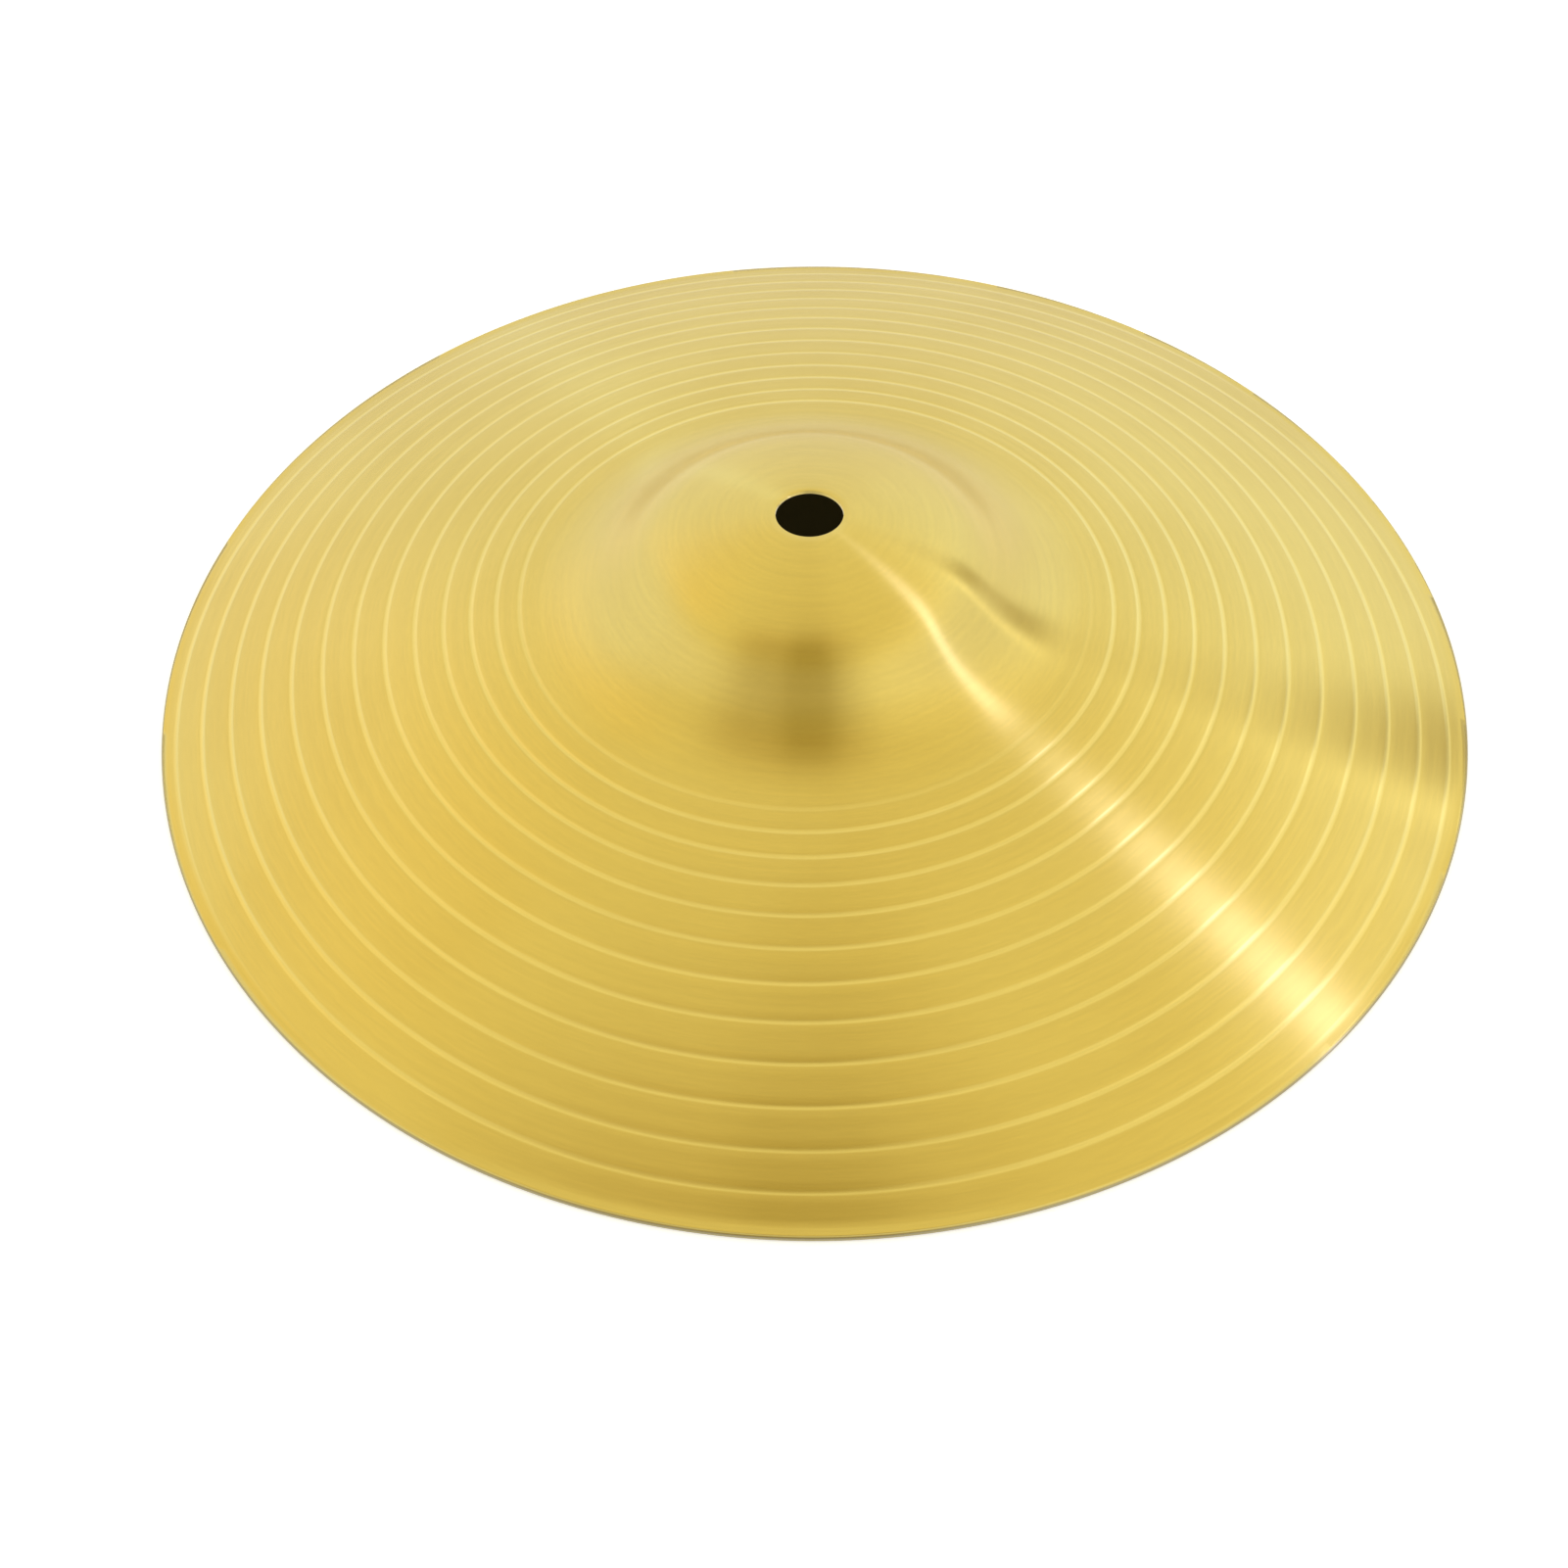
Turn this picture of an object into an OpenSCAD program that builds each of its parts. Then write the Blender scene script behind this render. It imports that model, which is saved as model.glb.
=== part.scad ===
// Crash cymbal of lathe-turned sheet brass: one thin plate of revolution.
// The plate stands on its rim with the bell upwards. The origin is on the axis of the
// spindle hole, in the plane that the rim rests on. Everything is in millimetres.

/* [Plate] */
// Outer diameter over the rim
plate_d = 254; // [150:1:560]
// Thickness of the sheet, the same all over
sheet_t = 0.8; // [0.5:0.05:1.6]
// Height that the bow's arc would reach on the axis, above the rim's resting plane
bow_h = 14.4; // [8:0.1:19]

/* [Bell] */
// Diameter at which the bell's wall would meet the bow without a fillet
bell_d = 89; // [60:1:107]
// Slope of the bell's wall, in degrees from level
wall_slope = 40; // [30:1:50]
// Height that the crown's arc would reach on the axis, above the rim's resting plane
crown_h = 29.9; // [25:0.1:36]
// Radius of the crown, the gently domed top of the bell
crown_r = 90; // [70:1:160]
// Fillet between the crown and the wall
shoulder_r = 20; // [8:1:40]
// Fillet between the wall and the bow
foot_r = 30; // [10:1:60]

/* [Spindle hole] */
// Diameter of the hole through the crown
hole_d = 12.7; // [8:0.1:16]

/* [Hidden] */

// Straight steps along each arc of the section
bow_steps = 48;
foot_steps = 14;
shoulder_steps = 10;
crown_steps = 14;
rim_steps = 8;
// Facets of the preview round the axis
round_fn = 180;

brass = [0.86, 0.74, 0.36];

half_t = sheet_t / 2;
hole_r = hole_d / 2;

// The section is drawn as [distance from the axis, height]. Four arcs on the middle of
// the sheet touch each other in turn, and each face lies half a thickness from them.
rim_c = [plate_d / 2 - half_t, half_t];
bow_r = (pow(rim_c.x, 2) + pow(bow_h - rim_c.y, 2)) / (2 * (bow_h - rim_c.y));
bow_c = [0, bow_h - bow_r];
crown_c = [0, crown_h - crown_r];

// The wall's line runs down and outwards through wall_p, a point of the bow
wall_dir = [cos(wall_slope), -sin(wall_slope)];
wall_normal = [sin(wall_slope), cos(wall_slope)];
wall_p = [bell_d / 2, bow_c.y + sqrt(pow(bow_r, 2) - pow(bell_d / 2, 2))];

// First point whose distance from c is dist, going down the line that lies the given
// offset outside the wall's line
function first_at(offset, c, dist) =
    let (from = wall_p + offset * wall_normal - c,
         along = from * wall_dir,
         across = from * from - pow(along, 2))
    c + from - (sqrt(pow(dist, 2) - across) + along) * wall_dir;

// The two fillets shrink together where the wall is too short to hold both
wall_top = first_at(0, crown_c, crown_r);
shoulder_turn = wall_slope - asin(wall_top.x / crown_r);
foot_turn = wall_slope - asin(wall_p.x / bow_r);
wall_taken = shoulder_r * tan(shoulder_turn / 2) + foot_r * tan(foot_turn / 2);
fillet_share = min(1, 0.95 * norm(wall_top - wall_p) / wall_taken);
shoulder_fit = shoulder_r * fillet_share;
foot_fit = foot_r * fillet_share;

shoulder_c = first_at(-shoulder_fit, crown_c, crown_r - shoulder_fit);
foot_c = first_at(foot_fit, bow_c, bow_r + foot_fit);

function angle_of(v) = atan2(v.y, v.x);
function reversed(points) = [for (i = [len(points) - 1:-1:0]) points[i]];

// Points along an arc. Its last point is left out, because the next arc starts there.
function arc(c, r, from, to, steps) =
    [for (i = [0:steps - 1])
        let (a = from + (to - from) * i / steps)
        c + r * [cos(a), sin(a)]];

wall_angle = angle_of(wall_normal);
crown_end = angle_of(shoulder_c - crown_c);
bow_start = angle_of(foot_c - bow_c);
bow_end = angle_of(rim_c - bow_c);

// One face from the hole to the rim, at the given offset from the middle of the sheet
function face(offset) = concat(
    arc(crown_c, crown_r + offset, acos(hole_r / (crown_r + offset)), crown_end, crown_steps),
    arc(shoulder_c, shoulder_fit + offset, crown_end, wall_angle, shoulder_steps),
    arc(foot_c, foot_fit - offset, wall_angle + 180, bow_start + 180, foot_steps),
    arc(bow_c, bow_r + offset, bow_start, bow_end, bow_steps));

// The rim is rounded over its whole thickness, from the upper face to the lower one
rim_round = arc(rim_c, half_t, bow_end, bow_end - 180, rim_steps);
rim_inside = rim_c - half_t * [cos(bow_end), sin(bow_end)];

module cymbal_plate() {
    section = concat(face(half_t), rim_round, [rim_inside], reversed(face(-half_t)));
    color(brass)
        rotate_extrude($fn = round_fn)
            polygon(section);
}

cymbal_plate();
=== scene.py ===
"""Looks of a lathe-turned brass crash cymbal, built round its packed plate.

The plate is one sheet of revolution. Its upper face carries a single tool line, which
winds outwards from the foot of the bell and runs out over the rim. Lengths are metres.
"""

import logging
import math
from dataclasses import dataclass
from enum import Enum

import bpy
import numpy as np
from mathutils import Matrix, Vector


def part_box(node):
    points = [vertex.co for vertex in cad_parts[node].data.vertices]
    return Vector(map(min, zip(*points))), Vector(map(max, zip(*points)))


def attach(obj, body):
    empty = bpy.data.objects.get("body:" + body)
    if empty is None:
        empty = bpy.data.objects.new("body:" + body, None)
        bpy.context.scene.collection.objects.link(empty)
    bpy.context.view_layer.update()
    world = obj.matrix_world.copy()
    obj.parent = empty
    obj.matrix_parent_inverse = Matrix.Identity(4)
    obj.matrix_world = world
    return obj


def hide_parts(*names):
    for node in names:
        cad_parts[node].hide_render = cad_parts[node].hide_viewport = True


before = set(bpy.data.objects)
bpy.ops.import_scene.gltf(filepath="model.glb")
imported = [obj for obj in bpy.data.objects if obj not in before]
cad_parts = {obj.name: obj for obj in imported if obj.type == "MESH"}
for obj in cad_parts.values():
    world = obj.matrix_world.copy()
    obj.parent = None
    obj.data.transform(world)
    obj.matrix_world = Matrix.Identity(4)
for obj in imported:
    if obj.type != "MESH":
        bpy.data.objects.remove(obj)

LOG = logging.getLogger("crash_cymbal")
PLATE_NODE = "cymbal_plate"
BODY = "root"
BAKE_UV = "OFBake"
LINE_OFFSET = "line_offset"
LINE_STRENGTH = "line_strength"
MM = 0.001
STEEP_NORMAL = 0.05
RIM_SHARE = 0.25
SAME_RADIUS = 0.02 * MM
EDGE_POWER = 4.0


class Side(Enum):
    """Which face of the sheet a piece of its section belongs to."""

    UPPER = 1
    LOWER = -1


def smooth_step(value: np.ndarray, start: float, end: float) -> np.ndarray:
    """Rises smoothly from 0 at start to 1 at end.

    Args:
        value: Where to evaluate the step.
        start: Value at which the step leaves 0.
        end: Value at which it reaches 1.

    Returns:
        The step's height at each value.
    """
    share = np.clip((value - start) / (end - start), 0.0, 1.0)
    return share * share * (3.0 - 2.0 * share)


# ---------------------------------------------------------------------------------------
# The plate's section
# ---------------------------------------------------------------------------------------


@dataclass(frozen=True)
class FaceCurve:
    """Height of one face over its distance from the axis, smooth between its points."""

    radii: np.ndarray
    heights: np.ndarray

    def height(self, radius: np.ndarray) -> np.ndarray:
        """Evaluates the cubic that passes through the points with their mean slopes.

        Args:
            radius: Distances from the axis.

        Returns:
            Heights above the rim's resting plane.
        """
        slopes = np.gradient(self.heights, self.radii)
        right = np.clip(np.searchsorted(self.radii, radius), 1, len(self.radii) - 1)
        left = right - 1
        step = self.radii[right] - self.radii[left]
        share = np.clip((radius - self.radii[left]) / step, 0.0, 1.0)
        rise = self.heights[right] - self.heights[left]
        eased = share * share * (3.0 - 2.0 * share)
        bulge = share * (1.0 - share)
        return (
            self.heights[left]
            + rise * eased
            + bulge * (1.0 - share) * slopes[left] * step
            - bulge * share * slopes[right] * step
        )


@dataclass(frozen=True)
class PlateSection:
    """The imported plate's section: two faces, a bore and a rounded rim."""

    upper: FaceCurve
    lower: FaceCurve
    plate_radius: float
    hole_radius: float
    half_sheet: float

    @classmethod
    def of_node(cls, node: bpy.types.Object) -> "PlateSection":
        """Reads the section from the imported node's triangles.

        Args:
            node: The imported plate.

        Returns:
            The section, with both faces running from the hole to the rim.
        """
        faces = {side: set() for side in Side}
        vertices = node.data.vertices
        for polygon in node.data.polygons:
            if abs(polygon.normal.z) > STEEP_NORMAL:
                side = Side.UPPER if polygon.normal.z > 0 else Side.LOWER
                for index in polygon.vertices:
                    x, y, z = vertices[index].co
                    faces[side].add((round(math.hypot(x, y), 6), round(z, 7)))
        ordered = {side: np.array(sorted(points)) for side, points in faces.items()}
        plate_radius = float(ordered[Side.UPPER][-1, 0])
        rest_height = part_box(node.name)[0].z
        half_sheet = float(ordered[Side.UPPER][-1, 1] - rest_height)
        curves = {}
        for side, points in ordered.items():
            turn_over = plate_radius - half_sheet * (1.0 - side.value * RIM_SHARE)
            kept = points[points[:, 0] < turn_over]
            first_of_radius = np.append(True, np.diff(kept[:, 0]) > SAME_RADIUS)
            curves[side] = FaceCurve(*kept[first_of_radius].T)
        return cls(
            upper=curves[Side.UPPER],
            lower=curves[Side.LOWER],
            plate_radius=plate_radius,
            hole_radius=float(ordered[Side.UPPER][0, 0]),
            half_sheet=half_sheet,
        )

    def rim_arc(self, steps: int) -> list[tuple[float, float]]:
        """Points of the rounded rim, from the lower face round to the upper one.

        Args:
            steps: Number of straight steps along the rounding.

        Returns:
            (radius, height) pairs.
        """
        centre = self.plate_radius - self.half_sheet
        near = np.array([centre - 2 * MM, centre])
        run = self.upper.height(near)
        top = math.pi / 2 + math.atan2(run[1] - run[0], near[1] - near[0])
        angles = np.linspace(top - math.pi, top, steps + 1)
        return [
            (centre + self.half_sheet * math.cos(a), self.half_sheet * (1 + math.sin(a)))
            for a in angles
        ]


# ---------------------------------------------------------------------------------------
# The tool line
# ---------------------------------------------------------------------------------------


@dataclass(frozen=True)
class ToolLine:
    """The spiral that the lathe's tool leaves on the upper face.

    The line moves outwards as it goes clockwise, seen from above. Radii and pitches are
    shares of the plate's radius. The outer turns run eccentrically, out of true with the
    rim, as on a disc that was clamped a little off its centre.
    """

    plate_radius: float
    first_radius: float = 0.4395
    end_pitch: float = 0.0341
    middle_pitch: float = 0.0485
    pitch_turns: float = 14.06
    first_turn: float = -0.33
    wander: float = 0.0237
    wander_angle: float = math.radians(78.0)
    wander_from: float = 0.6785
    wander_to: float = 0.9785
    half_width: float = 0.62 * MM
    depth: float = 0.075 * MM
    fade_in: tuple[float, float] = (-0.55, 0.45)
    inner_edge: float = 0.412
    turns_searched: tuple[int, int] = (-1, 18)

    @property
    def inner_radius(self) -> float:
        """Radius of the circle inside which there is no line."""
        return self.inner_edge * self.plate_radius

    def radius(self, phase: np.ndarray, angle: np.ndarray) -> np.ndarray:
        """Distance of the line from the axis.

        Args:
            phase: Turns travelled along the line.
            angle: Clockwise angle from +X, seen from above.

        Returns:
            Distances from the axis.
        """
        swell = self.pitch_turns / math.pi * (self.middle_pitch - self.end_pitch)
        turned = np.clip(phase, -2.0, self.pitch_turns) * math.pi / self.pitch_turns
        mean = self.first_radius + self.end_pitch * phase + swell * (1.0 - np.cos(turned))
        loose = smooth_step(mean, self.wander_from, self.wander_to)
        shift = self.wander * loose * np.cos(angle - self.wander_angle)
        return (mean + shift) * self.plate_radius

    def phase(self, turn: np.ndarray, angle: np.ndarray) -> np.ndarray:
        """Turns travelled at a given turn and clockwise angle."""
        return turn + angle / (2.0 * math.pi) + self.first_turn

    def nearest(self, radius: np.ndarray, angle: np.ndarray) -> tuple[np.ndarray, np.ndarray]:
        """Finds the turn of the line that lies nearest to each point.

        Args:
            radius: Distances from the axis.
            angle: Clockwise angles from +X, from 0 to a full turn.

        Returns:
            The distance to the line, and the phase of the line there.
        """
        turns = np.arange(*self.turns_searched)
        phases = self.phase(turns[None, :], angle[:, None])
        gaps = np.abs(self.radius(phases, angle[:, None]) - radius[:, None])
        best = gaps.argmin(axis=1)
        rows = np.arange(len(radius))
        return gaps[rows, best], phases[rows, best]

    def strength(self, phase: np.ndarray) -> np.ndarray:
        """How deep the tool cuts, from 0 where the line starts to 1."""
        return smooth_step(phase, *self.fade_in)

    def groove(self, offset: np.ndarray) -> np.ndarray:
        """Depth of the groove at a distance from the line's middle, as a share."""
        share = np.clip(offset / self.half_width, 0.0, 1.0)
        return 0.5 * (1.0 + np.cos(math.pi * share))


# ---------------------------------------------------------------------------------------
# Mesh work
# ---------------------------------------------------------------------------------------


def deselect_all() -> None:
    """Leaves edit mode and deselects every object."""
    if bpy.context.object and bpy.context.object.mode != "OBJECT":
        bpy.ops.object.mode_set(mode="OBJECT")
    bpy.ops.object.select_all(action="DESELECT")


def polyline(name: str, points: list[tuple[float, float]]) -> bpy.types.Object:
    """Draws a section line in the XZ plane, extruded point by point.

    Args:
        name: Name of the new object.
        points: (radius, height) pairs.

    Returns:
        The object, whose mesh is one chain of edges.
    """
    deselect_all()
    bpy.ops.mesh.primitive_plane_add(size=MM)
    line = bpy.context.object
    line.name = name
    bpy.ops.object.mode_set(mode="EDIT")
    bpy.ops.mesh.merge(type="CENTER")
    start = (points[0][0], 0.0, points[0][1])
    bpy.ops.transform.translate(value=start)
    for before, after in zip(points, points[1:]):
        step = (after[0] - before[0], 0.0, after[1] - before[1])
        bpy.ops.mesh.extrude_vertices_move(TRANSFORM_OT_translate={"value": step})
    bpy.ops.object.mode_set(mode="OBJECT")
    return line


def screw(line: bpy.types.Object, columns: int, turns: int = 1, lead: float = 0.0) -> None:
    """Turns a section line round the Z axis, and applies the result.

    Args:
        line: The section line's object.
        columns: Steps in one full turn.
        turns: Number of full turns.
        lead: Height gained in each turn.
    """
    modifier = line.modifiers.new("turning", "SCREW")
    modifier.axis = "Z"
    modifier.angle = 2.0 * math.pi
    modifier.iterations = turns
    modifier.screw_offset = lead
    modifier.steps = columns
    modifier.render_steps = columns
    modifier.use_merge_vertices = lead == 0.0
    modifier.merge_threshold = 0.002 * MM
    deselect_all()
    line.select_set(True)
    bpy.context.view_layer.objects.active = line
    bpy.ops.object.modifier_apply(modifier=modifier.name)


def vertex_points(mesh: bpy.types.Mesh) -> np.ndarray:
    """All vertex places of a mesh, one row each."""
    points = np.empty(len(mesh.vertices) * 3)
    mesh.vertices.foreach_get("co", points)
    return points.reshape(-1, 3)


def weld(piece: bpy.types.Object, distance: float) -> None:
    """Merges the vertices of a piece that lie within a distance of each other.

    Args:
        piece: The piece to weld.
        distance: Largest distance that is merged.
    """
    deselect_all()
    piece.select_set(True)
    bpy.context.view_layer.objects.active = piece
    bpy.ops.object.mode_set(mode="EDIT")
    bpy.ops.mesh.select_all(action="SELECT")
    bpy.ops.mesh.remove_doubles(threshold=distance)
    bpy.ops.object.mode_set(mode="OBJECT")


@dataclass
class CymbalPlate:
    """The whole cymbal: one turned sheet with a bell, a bow and a spindle hole."""

    section: PlateSection
    line: ToolLine
    columns: int = 400
    crown_step: float = 1.55 * MM
    bell_step: float = 1.9 * MM
    under_step: float = 3.1 * MM
    rim_steps: int = 10
    hole_bevel: float = 0.14 * MM
    snap: float = 0.05 * MM
    rows_per_turn: int = 8
    windings: int = 18
    turns_before: int = 2
    helix_lead: float = 10.0 * MM
    helix_radius: float = 100.0 * MM
    line_fades: tuple[float, float] = (3.4 * MM, 1.5 * MM)

    @property
    def outer_radius(self) -> float:
        """Radius at which the upper face hands over to the rounded rim."""
        return self.section.plate_radius - self.section.half_sheet

    def build(self) -> bpy.types.Object:
        """Makes the plate's mesh.

        Returns:
            The finished piece, closed and smooth.
        """
        plate = self._bell_rim_and_underside()
        band = self._bow_band()
        deselect_all()
        band.select_set(True)
        plate.select_set(True)
        bpy.context.view_layer.objects.active = plate
        bpy.ops.object.join()
        weld(plate, 0.003 * MM)
        self._bevel_hole(plate)
        self._face_outwards(plate)
        self._cut_line(plate)
        self._unwrap(plate)
        return plate

    def _rows(self, start: float, end: float, step: float) -> list[float]:
        """Evenly spaced radii from start up to end, which is left out."""
        count = max(1, math.ceil(abs(end - start) / step))
        return list(np.linspace(start, end, count + 1)[:-1])

    def _bell_rim_and_underside(self) -> bpy.types.Object:
        """Turns all of the section but the stretch that holds the tool line.

        Returns:
            An open shell from the bow's inner circle, through the hole, to the rim.
        """
        section = self.section
        inner = self.line.inner_radius
        hole = section.hole_radius
        points = [
            (r, float(section.upper.height(np.float64(r))))
            for r in self._rows(inner, hole, self.crown_step) + [hole]
        ]
        arc = section.rim_arc(self.rim_steps)
        under = self._rows(hole, inner, self.bell_step)
        under += self._rows(inner, arc[0][0], self.under_step)
        points += [(r, float(section.lower.height(np.float64(r)))) for r in under]
        points += arc
        outer = self.outer_radius
        points.append((outer, float(section.upper.height(np.float64(outer)))))
        shell = polyline(PLATE_NODE + "_turned", points)
        screw(shell, self.columns)
        return shell

    def _bow_band(self) -> bpy.types.Object:
        """Winds the bow's upper face as a ribbon whose rows follow the tool line.

        A helix is wound first, a unit of height for each turn. It is then rolled flat
        onto the bow in code, because no operator maps a height to a growing radius.

        Returns:
            A ring-shaped face between the bow's inner circle and the rim.
        """
        rows, lead = self.rows_per_turn, self.helix_lead
        profile = [
            (self.helix_radius, lead * (row / rows - self.turns_before))
            for row in range(rows + 1)
        ]
        band = polyline(PLATE_NODE + "_bow", profile)
        screw(band, self.columns, self.windings, lead)
        weld(band, 0.01 * MM)

        points = vertex_points(band.data)
        angle = np.arctan2(points[:, 1], points[:, 0]) % (2.0 * math.pi)
        column = np.rint(angle * self.columns / (2.0 * math.pi)) % self.columns
        angle = column * 2.0 * math.pi / self.columns
        travelled = points[:, 2] / lead
        row = np.rint((travelled - column / self.columns) * rows)
        turn = np.floor(row / rows)
        row = (row - turn * rows).astype(int)
        this_line = self.line.radius(self.line.phase(turn, angle), angle)
        next_line = self.line.radius(self.line.phase(turn + 1, angle), angle)
        half = self.line.half_width
        land = (row - 2) / (rows - 4)
        land_radius = (this_line + half) * (1 - land) + (next_line - half) * land
        radius = np.select(
            [row == 0, row == 1, row == rows - 1],
            [this_line, this_line + half / 2, next_line - half / 2],
            land_radius,
        )
        inner, outer = self.line.inner_radius, self.outer_radius
        radius = np.where(radius < inner + self.snap, inner, radius)
        radius = np.where(radius > outer - self.snap, outer, radius)
        flat = np.column_stack(
            [
                radius * np.cos(angle),
                -radius * np.sin(angle),
                self.section.upper.height(radius),
            ]
        )
        band.data.vertices.foreach_set("co", flat.ravel())
        band.data.update()
        weld(band, 0.002 * MM)
        return band

    def _bevel_hole(self, plate: bpy.types.Object) -> None:
        """Breaks the two sharp edges of the spindle hole.

        Args:
            plate: The joined plate.
        """
        mesh = plate.data
        points = vertex_points(mesh)
        on_hole = np.hypot(points[:, 0], points[:, 1]) < self.section.hole_radius + 0.01 * MM
        for edge in mesh.edges:
            a, b = edge.vertices
            level = abs(points[a, 2] - points[b, 2]) < 0.01 * MM
            edge.select = bool(on_hole[a] and on_hole[b] and level)
        for vertex in mesh.vertices:
            vertex.select = bool(on_hole[vertex.index])
        for polygon in mesh.polygons:
            polygon.select = False
        bpy.ops.object.mode_set(mode="EDIT")
        bpy.ops.mesh.select_mode(type="EDGE")
        bpy.ops.mesh.bevel(offset=self.hole_bevel, segments=3, affect="EDGES")
        bpy.ops.object.mode_set(mode="OBJECT")

    def _face_outwards(self, plate: bpy.types.Object) -> None:
        """Points all faces outwards and shades them smooth.

        Args:
            plate: The closed plate.
        """
        bpy.ops.object.mode_set(mode="EDIT")
        bpy.ops.mesh.select_all(action="SELECT")
        bpy.ops.mesh.dissolve_degenerate(threshold=0.001 * MM)
        bpy.ops.mesh.normals_make_consistent(inside=False)
        bpy.ops.object.mode_set(mode="OBJECT")
        bpy.ops.object.shade_smooth()

    def _polar(self, points: np.ndarray) -> tuple[np.ndarray, np.ndarray, np.ndarray]:
        """Radius, clockwise angle, and whether each point is on the upper face."""
        radius = np.hypot(points[:, 0], points[:, 1])
        angle = np.arctan2(-points[:, 1], points[:, 0]) % (2.0 * math.pi)
        middle = (self.section.upper.height(radius) + self.section.lower.height(radius)) / 2
        return radius, angle, points[:, 2] > middle

    def _cut_line(self, plate: bpy.types.Object) -> None:
        """Presses the tool line into the upper face and notes where it runs.

        Args:
            plate: The closed plate.
        """
        mesh = plate.data
        points = vertex_points(mesh)
        radius, angle, upper = self._polar(points)
        offset, phase = self.line.nearest(radius, angle)
        on_bow = upper & (radius > self.line.inner_radius)
        first, last = (self.section.plate_radius - gap for gap in self.line_fades)
        run_out = 1.0 - smooth_step(radius, first, last)
        strength = self.line.strength(phase) * on_bow * run_out
        points[:, 2] -= self.line.depth * self.line.groove(offset) * strength
        mesh.vertices.foreach_set("co", points.ravel())
        for name, values in ((LINE_OFFSET, offset / self.line.half_width), (LINE_STRENGTH, strength)):
            attribute = mesh.attributes.new(name, "FLOAT", "POINT")
            attribute.data.foreach_set("value", values.astype(np.float32))
        mesh.update()

    def _unwrap(self, plate: bpy.types.Object) -> None:
        """Gives the plate a polar map: round the axis, and along the section.

        Args:
            plate: The closed plate.
        """
        mesh = plate.data
        radius, angle, upper = self._polar(vertex_points(mesh))
        reach = self.section.plate_radius - self.section.hole_radius
        out = (radius - self.section.hole_radius) / reach
        across = angle / (2.0 * math.pi)
        along = 0.5 + np.where(upper, -0.5, 0.5) * (1.0 - 0.99 * out)
        corners = np.empty(len(mesh.loops), dtype=np.int64)
        mesh.loops.foreach_get("vertex_index", corners)
        starts = np.empty(len(mesh.polygons), dtype=np.int64)
        mesh.polygons.foreach_get("loop_start", starts)
        sizes = np.diff(np.append(starts, len(corners)))
        u, v = across[corners], along[corners]
        widest = np.repeat(np.maximum.reduceat(u, starts), sizes)
        u = np.where((widest > 0.75) & (u < 0.25), u + 1.0, u)
        layer = mesh.uv_layers.new(name=BAKE_UV)
        layer.data.foreach_set("uv", np.column_stack([u, v]).astype(np.float32).ravel())


# ---------------------------------------------------------------------------------------
# Finishes
# ---------------------------------------------------------------------------------------


@dataclass
class NodeDesk:
    """Short forms for adding and wiring the nodes of one tree."""

    tree: bpy.types.NodeTree

    def add(self, kind: str, **settings: object) -> bpy.types.Node:
        """Adds a node and sets its properties.

        Args:
            kind: The node's type name.
            **settings: Properties to set on it.

        Returns:
            The new node.
        """
        node = self.tree.nodes.new(kind)
        for name, value in settings.items():
            setattr(node, name, value)
        return node

    def feed(self, socket: bpy.types.NodeSocket, value: object) -> None:
        """Links a socket to another socket, or sets it to a constant.

        Args:
            socket: The input to feed.
            value: An output socket, a number or a tuple.
        """
        if isinstance(value, bpy.types.NodeSocket):
            self.tree.links.new(value, socket)
        else:
            socket.default_value = value

    def math(self, operation: str, *values: object, clamp: bool = False) -> bpy.types.NodeSocket:
        """Adds a Math node and returns its result."""
        node = self.add("ShaderNodeMath", operation=operation, use_clamp=clamp)
        for socket, value in zip(node.inputs, values):
            self.feed(socket, value)
        return node.outputs[0]

    def vector(self, operation: str, *values: object) -> bpy.types.Node:
        """Adds a Vector Math node and returns it."""
        node = self.add("ShaderNodeVectorMath", operation=operation)
        for socket, value in zip(node.inputs, values):
            self.feed(socket, value)
        return node

    def ramp(
        self, value: object, start: float, end: float, low: float, high: float
    ) -> bpy.types.NodeSocket:
        """Maps start..end smoothly onto low..high.

        Args:
            value: The input.
            start: Input that gives low.
            end: Input that gives high.
            low: First result.
            high: Last result.

        Returns:
            The mapped value.
        """
        node = self.add("ShaderNodeMapRange", interpolation_type="SMOOTHSTEP")
        for socket, given in zip(node.inputs, (value, start, end, low, high)):
            self.feed(socket, given)
        return node.outputs[0]

    def mix(self, share: object, first: object, second: object) -> bpy.types.NodeSocket:
        """Mixes two colours and returns the result."""
        node = self.add("ShaderNodeMix", data_type="RGBA")
        self.feed(node.inputs["Factor"], share)
        self.feed(node.inputs[6], first)
        self.feed(node.inputs[7], second)
        return node.outputs[2]

    def noise(
        self, vector: object, scale: float, detail: float, roughness: float = 0.5
    ) -> bpy.types.NodeSocket:
        """Adds a noise texture and returns its value."""
        node = self.add("ShaderNodeTexNoise")
        self.feed(node.inputs["Vector"], vector)
        self.feed(node.inputs["Scale"], scale)
        self.feed(node.inputs["Detail"], detail)
        self.feed(node.inputs["Roughness"], roughness)
        return node.outputs["Fac"]


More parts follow.
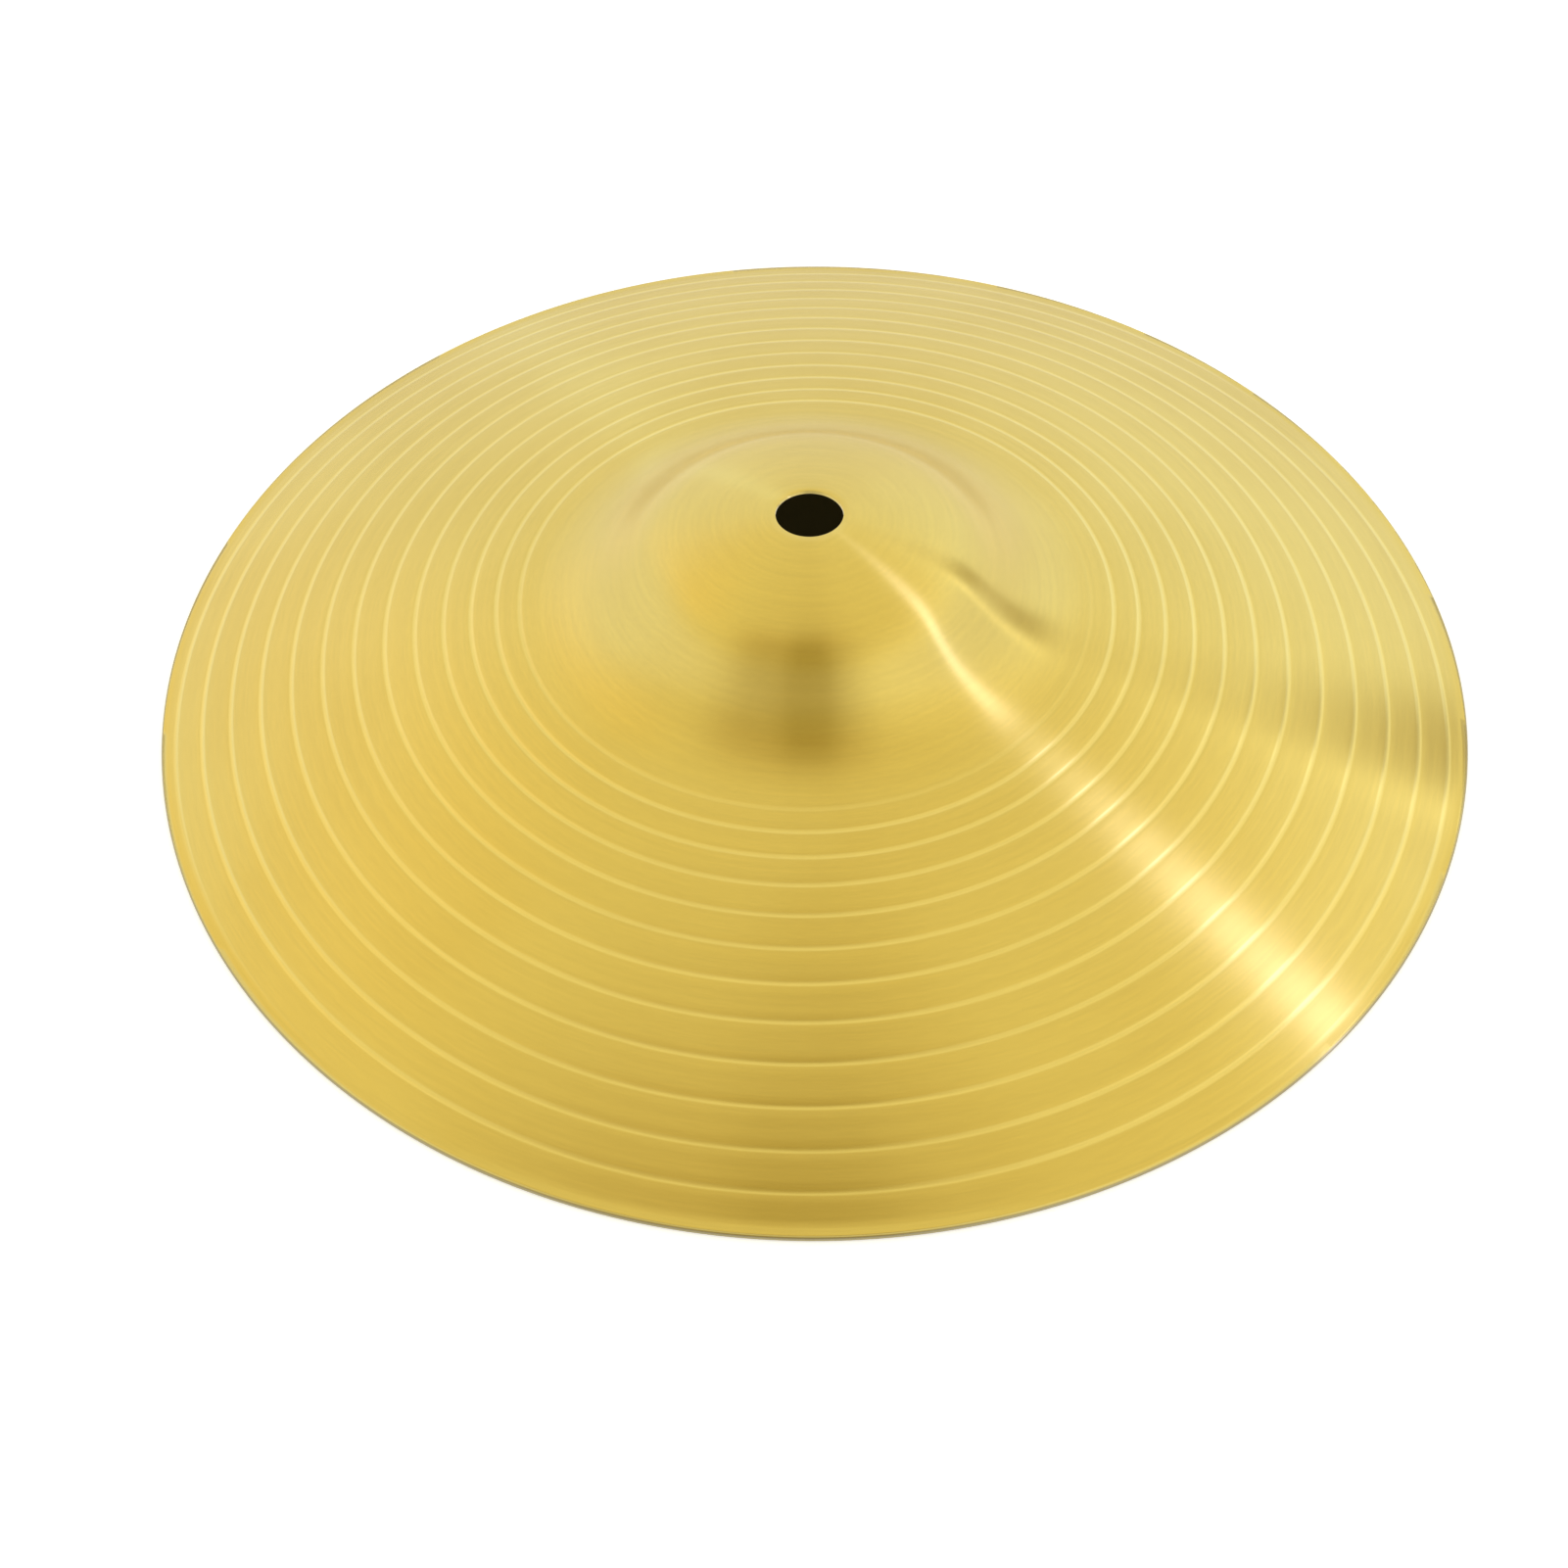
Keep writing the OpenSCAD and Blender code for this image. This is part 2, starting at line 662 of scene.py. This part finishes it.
@dataclass(frozen=True)
class LathedBrass:
    """Lacquered sheet brass with the fine rings of the lathe and a brighter tool line. The tool
    line's brighter colour is partly the polished band's own and partly painted sheen, for the light
    that its curved groove gathers; the rounded rim is painted dark grey, a painted shade on the
    sheet's edge.
    """

    name: str = "lathed_brass"
    land: tuple[float, float, float] = (0.80, 0.62, 0.165)
    tarnish: tuple[float, float, float] = (0.75, 0.565, 0.135)
    # The tool line's colour, brighter than the lands: partly the polished band's own colour, partly
    # painted sheen for the light that its curved groove gathers.
    cut_and_sheen: tuple[float, float, float] = (0.90, 0.74, 0.25)
    # Painted shade: the rounded rim is mixed towards this dark grey, for the shade on the sheet's
    # edge.
    edge: tuple[float, float, float] = (0.36, 0.32, 0.20)
    rim_shade_share: float = 0.85
    rim_shade_starts: tuple[float, float] = (126.50 * MM, 126.85 * MM)
    roughness: float = 0.215
    anisotropic: float = 1.0
    grain_turn: float = 0.25
    cloud_scale: float = 22.0
    tarnish_share: float = 0.55
    cut_and_sheen_share: float = 0.85
    line_polish: float = 0.03
    line_core: float = 0.42
    coat: float = 0.35
    coat_roughness: float = 0.22
    ring_scales: tuple[tuple[str, float, float], ...] = (
        ("broad", 2.4 * MM, 0.8),
        ("medium", 0.75 * MM, 1.6),
        ("fine", 0.26 * MM, 26.0),
    )
    bump_height: float = 0.010 * MM
    bump_strength: float = 0.35
    polished_to: float = 40.0 * MM
    turned_from: float = 56.0 * MM

    def make(self) -> bpy.types.Material:
        """Builds the material.

        Returns:
            The brass, ready to go on the plate.
        """
        material = bpy.data.materials.new(self.name)
        material.use_nodes = True
        desk = NodeDesk(material.node_tree)
        desk.tree.nodes.clear()
        shader = desk.add("ShaderNodeBsdfPrincipled")
        output = desk.add("ShaderNodeOutputMaterial")
        desk.feed(output.inputs["Surface"], shader.outputs["BSDF"])
        place = desk.add("ShaderNodeTexCoord").outputs["Object"]
        rings = self._rings(desk, place)
        line = self._line(desk)

        clouds = desk.noise(place, self.cloud_scale, 3.0)
        age = desk.ramp(clouds, 0.38, 0.66, 0.0, self.tarnish_share)
        land = desk.mix(age, (*self.land, 1.0), (*self.tarnish, 1.0))
        # Painted sheen in part: the tool line is mixed towards the brighter brass, partly its own
        # finish and partly a stand-in for the light its curved groove gathers.
        cut_and_sheen = desk.mix(desk.math("MULTIPLY", line, self.cut_and_sheen_share), land, (*self.cut_and_sheen, 1.0))
        tone = desk.ramp(rings["medium"], 0.25, 0.75, 0.98, 1.015)
        scratches = desk.ramp(rings["fine"], 0.3, 0.7, 0.985, 1.015)
        tone = desk.math("MULTIPLY", tone, scratches)
        # Painted shade: from 126.5 mm out the colour turns dark grey, for the shade on the rim's
        # rounded edge.
        edge = desk.ramp(rings["radius"], *self.rim_shade_starts, 0.0, self.rim_shade_share)
        cut_and_sheen = desk.mix(edge, cut_and_sheen, (*self.edge, 1.0))
        base = desk.vector("SCALE", cut_and_sheen)
        desk.feed(base.inputs["Scale"], tone)
        desk.feed(shader.inputs["Base Color"], base.outputs[0])

        spread = desk.ramp(rings["broad"], 0.25, 0.75, self.roughness - 0.012, self.roughness + 0.014)
        rough = desk.math("SUBTRACT", spread, desk.math("MULTIPLY", line, self.line_polish))
        desk.feed(shader.inputs["Roughness"], rough)

        height = desk.math(
            "ADD",
            desk.math("MULTIPLY", rings["medium"], 0.5),
            desk.math("MULTIPLY", rings["fine"], 0.9),
        )
        turned = desk.ramp(rings["radius"], self.polished_to, self.turned_from, 0.3, 1.0)
        height = desk.math("MULTIPLY", height, turned)
        bump = desk.add("ShaderNodeBump")
        desk.feed(bump.inputs["Strength"], self.bump_strength)
        desk.feed(bump.inputs["Distance"], self.bump_height)
        desk.feed(bump.inputs["Height"], height)
        desk.feed(shader.inputs["Normal"], bump.outputs["Normal"])

        tangent = desk.add("ShaderNodeTangent", direction_type="UV_MAP", uv_map=BAKE_UV)
        desk.feed(shader.inputs["Tangent"], tangent.outputs["Tangent"])
        shader.inputs["Metallic"].default_value = 1.0
        shader.inputs["Anisotropic"].default_value = self.anisotropic
        shader.inputs["Anisotropic Rotation"].default_value = self.grain_turn
        shader.inputs["Coat Weight"].default_value = self.coat
        shader.inputs["Coat Roughness"].default_value = self.coat_roughness
        return material

    def _rings(self, desk: NodeDesk, place: bpy.types.NodeSocket) -> dict[str, bpy.types.NodeSocket]:
        """Noise drawn out along the rings that the lathe leaves, at three scales.

        Args:
            desk: The material's nodes.
            place: Object coordinates.

        Returns:
            The noise by the name of its scale, and the distance from the axis.
        """
        apart = desk.add("ShaderNodeSeparateXYZ")
        desk.feed(apart.inputs[0], place)
        flat = desk.add("ShaderNodeCombineXYZ")
        desk.feed(flat.inputs[0], apart.outputs[0])
        desk.feed(flat.inputs[1], apart.outputs[1])
        radius = desk.vector("LENGTH", flat.outputs[0]).outputs["Value"]
        heading = desk.vector("NORMALIZE", flat.outputs[0]).outputs[0]
        turned = desk.add("ShaderNodeSeparateXYZ")
        desk.feed(turned.inputs[0], heading)
        rings = {"radius": radius}
        for name, width, arcs in self.ring_scales:
            drawn = desk.add("ShaderNodeCombineXYZ")
            desk.feed(drawn.inputs[0], desk.math("MULTIPLY", turned.outputs[0], arcs))
            desk.feed(drawn.inputs[1], desk.math("MULTIPLY", turned.outputs[1], arcs))
            desk.feed(drawn.inputs[2], desk.math("DIVIDE", radius, width))
            rings[name] = desk.noise(drawn.outputs[0], 1.0, 2.0)
        return rings

    def _line(self, desk: NodeDesk) -> bpy.types.NodeSocket:
        """The tool line as a mask, 1 along its middle and 0 on the lands."""
        offset = desk.add("ShaderNodeAttribute", attribute_name=LINE_OFFSET).outputs["Fac"]
        strength = desk.add("ShaderNodeAttribute", attribute_name=LINE_STRENGTH).outputs["Fac"]
        mask = desk.ramp(offset, self.line_core, 1.0, 1.0, 0.0)
        return desk.math("MULTIPLY", mask, strength)


# ---------------------------------------------------------------------------------------
# Studio
# ---------------------------------------------------------------------------------------


@dataclass(frozen=True)
class SkyPiece:
    """A soft-edged lamp in the sky, or a dark one.

    It lies near one circle, the directions whose product with the normal is the level,
    and near the middle of one stretch, measured by the product with the other vector.
    """

    normal: tuple[float, float, float]
    level: float
    width: float
    along: tuple[float, float, float]
    middle: float
    reach: float
    light: float
    tint: tuple[float, float, float] = (1.0, 1.0, 1.0)


X_AXIS = (1.0, 0.0, 0.0)
Y_AXIS = (0.0, 1.0, 0.0)
Z_AXIS = (0.0, 0.0, 1.0)
STRIP_NORMAL = (-0.700, -0.703, 0.124)
STRIP_ALONG = (-0.709, 0.705, 0.0)
EDGE_NORMAL = (-0.386, -0.920, 0.070)
EDGE_ALONG = (-0.922, 0.387, 0.0)
SIDE_NORMAL = (-0.285, -0.956, 0.069)
SIDE_ALONG = (-0.958, 0.286, 0.0)
STRIP_LAMP = SkyPiece(STRIP_NORMAL, -0.443, 0.030, STRIP_ALONG, -0.45, 0.55, 0.88, (1.0, 1.11, 2.7))
FAR_GLINT = SkyPiece(STRIP_NORMAL, -0.439, 0.034, STRIP_ALONG, 0.65, 0.30, 0.10, (0.6, 1.1, 1.8))
EDGE_LAMP = SkyPiece(EDGE_NORMAL, -0.625, 0.022, EDGE_ALONG, -0.55, 0.20, 0.37)
SIDE_GAP = SkyPiece(SIDE_NORMAL, -0.643, 0.055, SIDE_ALONG, -0.53, 0.17, -0.44, (0.97, 1.15, 1.6))
SIDE_WINDOW = SkyPiece(X_AXIS, 0.45, 0.28, Z_AXIS, 0.52, 0.22, 0.10, (0.6, 1.1, 2.1))
SIDE_GLOW = SkyPiece(X_AXIS, 0.60, 0.25, Z_AXIS, 0.72, 0.15, 0.17)
OVERHEAD_GAP = SkyPiece(X_AXIS, 0.0, 0.11, Y_AXIS, -0.15, 0.20, -0.14, (1.1, 1.0, 0.8))
OVERHEAD_SHADE = SkyPiece(X_AXIS, -0.10, 0.34, Y_AXIS, -0.13, 0.18, -0.30, (1.0, 1.12, 0.95))
FRONT_GAP = SkyPiece(X_AXIS, 0.0, 0.20, Y_AXIS, -0.52, 0.26, -0.14)
FRONT_SHADE = SkyPiece(X_AXIS, -0.13, 0.45, Y_AXIS, -0.60, 0.36, -0.29, (1.0, 1.0, 0.85))
LEFT_GLOW = SkyPiece(X_AXIS, -0.50, 0.16, Y_AXIS, 0.45, 0.30, 0.15, (1.0, 0.5, 0.0))
HORIZON = SkyPiece(Z_AXIS, 0.0, 0.20, Y_AXIS, 0.9, 0.60, -0.03)


@dataclass
class Studio:
    """Floor, soft sky light and camera."""

    plate_radius: float
    low_sky: tuple[float, float, float] = (0.96, 0.97, 1.0)
    high_sky: tuple[float, float, float] = (0.90, 0.82, 0.52)
    sky_turn: tuple[float, float] = (0.50, 0.82)
    floor_spill: float = 0.60
    pieces: tuple[SkyPiece, ...] = (
        STRIP_LAMP,
        FAR_GLINT,
        EDGE_LAMP,
        SIDE_GAP,
        SIDE_WINDOW,
        SIDE_GLOW,
        OVERHEAD_GAP,
        OVERHEAD_SHADE,
        FRONT_GAP,
        FRONT_SHADE,
        LEFT_GLOW,
        HORIZON,
    )
    floor_reach: float = 40.0
    floor_sides: int = 96
    floor_glow: float = 0.45
    lens: float = 33.73
    sensor: float = 36.0
    camera_back: float = 1.6430
    camera_height: float = 1.6804
    camera_yaw: float = 0.0282
    camera_pitch: float = 0.9029
    camera_roll: float = -0.0229

    def build(self) -> None:
        """Makes the floor, the sky and the camera."""
        self._floor()
        self._sky()
        self._camera()
        bpy.context.scene.view_settings.view_transform = "Standard"

    def _floor(self) -> None:
        """A white floor, glowing outside the plate so that it stays plain.

        From below it is clear, and under the plate it lets light up to the hollow side. Under the
        plate it is painted near black: painted shade for the hollow beneath the bell, seen through
        the spindle hole.
        """
        deselect_all()
        bpy.ops.mesh.primitive_circle_add(
            vertices=self.floor_sides,
            radius=self.plate_radius * self.floor_reach,
            fill_type="NGON",
        )
        floor = bpy.context.object
        floor.name = "studio_floor"
        material = bpy.data.materials.new("white_floor")
        material.use_nodes = True
        desk = NodeDesk(material.node_tree)
        desk.tree.nodes.clear()
        place = desk.add("ShaderNodeTexCoord").outputs["Object"]
        away = desk.vector("LENGTH", place).outputs["Value"]
        edge = self.plate_radius
        glow = desk.ramp(away, edge * 0.96, edge * 1.002, 0.0, self.floor_glow)
        shader = desk.add("ShaderNodeBsdfPrincipled")
        # Painted shade: within the plate's footprint the floor is near black, for the shade in the
        # hollow under the bell.
        covered = desk.ramp(away, edge * 0.97, edge * 0.995, 1.0, 0.0)
        shade = desk.mix(covered, (0.9, 0.9, 0.9, 1.0), (0.02, 0.02, 0.02, 1.0))
        desk.feed(shader.inputs["Base Color"], shade)
        shader.inputs["Roughness"].default_value = 0.9
        shader.inputs["Specular IOR Level"].default_value = 0.0
        shader.inputs["Emission Color"].default_value = (1.0, 1.0, 1.0, 1.0)
        seen = desk.add("ShaderNodeLightPath").outputs["Is Camera Ray"]
        shown = desk.math("MAXIMUM", seen, self.floor_spill)
        desk.feed(shader.inputs["Emission Strength"], desk.math("MULTIPLY", glow, shown))
        clear = desk.add("ShaderNodeBsdfTransparent")
        mix = desk.add("ShaderNodeMixShader")
        behind = desk.add("ShaderNodeNewGeometry").outputs["Backfacing"]
        opened = desk.math("MULTIPLY", covered, desk.math("SUBTRACT", 1.0, seen))
        desk.feed(mix.inputs[0], desk.math("MAXIMUM", behind, opened))
        desk.feed(mix.inputs[1], shader.outputs[0])
        desk.feed(mix.inputs[2], clear.outputs[0])
        output = desk.add("ShaderNodeOutputMaterial")
        desk.feed(output.inputs["Surface"], mix.outputs[0])
        floor.data.materials.append(material)

    def _sky(self) -> None:
        """Soft light from all round, with the lamps and the dark patches in it."""
        world = bpy.data.worlds.new("studio_sky")
        bpy.context.scene.world = world
        world.use_nodes = True
        desk = NodeDesk(world.node_tree)
        desk.tree.nodes.clear()
        heading = desk.add("ShaderNodeTexCoord").outputs["Generated"]
        apart = desk.add("ShaderNodeSeparateXYZ")
        desk.feed(apart.inputs[0], heading)
        height = desk.ramp(apart.outputs[2], *self.sky_turn, 0.0, 1.0)
        total = desk.mix(height, (*self.low_sky, 1.0), (*self.high_sky, 1.0))
        for piece in self.pieces:
            total = self._add_light(desk, total, heading, piece)
        lit = desk.add("ShaderNodeBackground")
        desk.feed(lit.inputs["Color"], total)
        plain = desk.add("ShaderNodeBackground")
        plain.inputs["Color"].default_value = (1.0, 1.0, 1.0, 1.0)
        mix = desk.add("ShaderNodeMixShader")
        desk.feed(mix.inputs[0], desk.add("ShaderNodeLightPath").outputs["Is Camera Ray"])
        desk.feed(mix.inputs[1], lit.outputs[0])
        desk.feed(mix.inputs[2], plain.outputs[0])
        output = desk.add("ShaderNodeOutputWorld")
        desk.feed(output.inputs["Surface"], mix.outputs[0])

    def _add_light(
        self,
        desk: NodeDesk,
        total: bpy.types.NodeSocket,
        heading: bpy.types.NodeSocket,
        piece: SkyPiece,
    ) -> bpy.types.NodeSocket:
        """Adds one soft-edged piece to the sky's light.

        Args:
            desk: The sky's nodes.
            total: The light so far.
            heading: The direction looked in.
            piece: The piece to add.

        Returns:
            The new total.
        """
        falls = []
        for vector, middle, half in (
            (piece.normal, piece.level, piece.width),
            (piece.along, piece.middle, piece.reach),
        ):
            facing = desk.vector("DOT_PRODUCT", heading, vector).outputs["Value"]
            away = desk.math("DIVIDE", desk.math("SUBTRACT", facing, middle), half)
            falls.append(desk.math("POWER", desk.math("ABSOLUTE", away), EDGE_POWER))
        fall = desk.math("EXPONENT", desk.math("MULTIPLY", desk.math("ADD", *falls), -1.0))
        shone = desk.vector("SCALE", tuple(piece.light * part for part in piece.tint))
        desk.feed(shone.inputs["Scale"], fall)
        return desk.vector("ADD", total, shone.outputs[0]).outputs[0]

    def _camera(self) -> None:
        """A camera in front of the cymbal, looking down at it."""
        deselect_all()
        bpy.ops.object.camera_add()
        camera = bpy.context.object
        camera.name = "studio_camera"
        camera.data.lens = self.lens
        camera.data.sensor_width = self.sensor
        camera.data.clip_start = 0.01
        camera.data.clip_end = 50.0
        turn = Matrix.Rotation(self.camera_yaw, 3, "Z")
        ahead = turn @ Vector((0.0, math.cos(self.camera_pitch), -math.sin(self.camera_pitch)))
        side = turn @ Vector((1.0, 0.0, 0.0))
        top = turn @ Vector((0.0, math.sin(self.camera_pitch), math.cos(self.camera_pitch)))
        right = math.cos(self.camera_roll) * side + math.sin(self.camera_roll) * top
        up = -math.sin(self.camera_roll) * side + math.cos(self.camera_roll) * top
        matrix = Matrix((right, up, -ahead)).transposed().to_4x4()
        matrix.translation = Vector((0.0, -self.camera_back, self.camera_height)) * self.plate_radius
        camera.matrix_world = matrix
        bpy.context.scene.camera = camera


def main() -> None:
    """Builds the cymbal and the studio."""
    logging.basicConfig(level=logging.INFO, format="%(name)s: %(message)s")
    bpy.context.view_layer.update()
    section = PlateSection.of_node(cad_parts[PLATE_NODE])
    maker = CymbalPlate(section, ToolLine(section.plate_radius))
    plate = maker.build()
    plate.name = "turned_plate"
    plate.data.materials.clear()
    plate.data.materials.append(LathedBrass().make())
    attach(plate, BODY)
    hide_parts(PLATE_NODE)
    mesh = plate.data
    triangles = sum(len(polygon.vertices) - 2 for polygon in mesh.polygons)
    LOG.info("%s: %d vertices, %d triangles", plate.name, len(mesh.vertices), triangles)
    Studio(section.plate_radius).build()


if __name__ == "__main__":
    main()
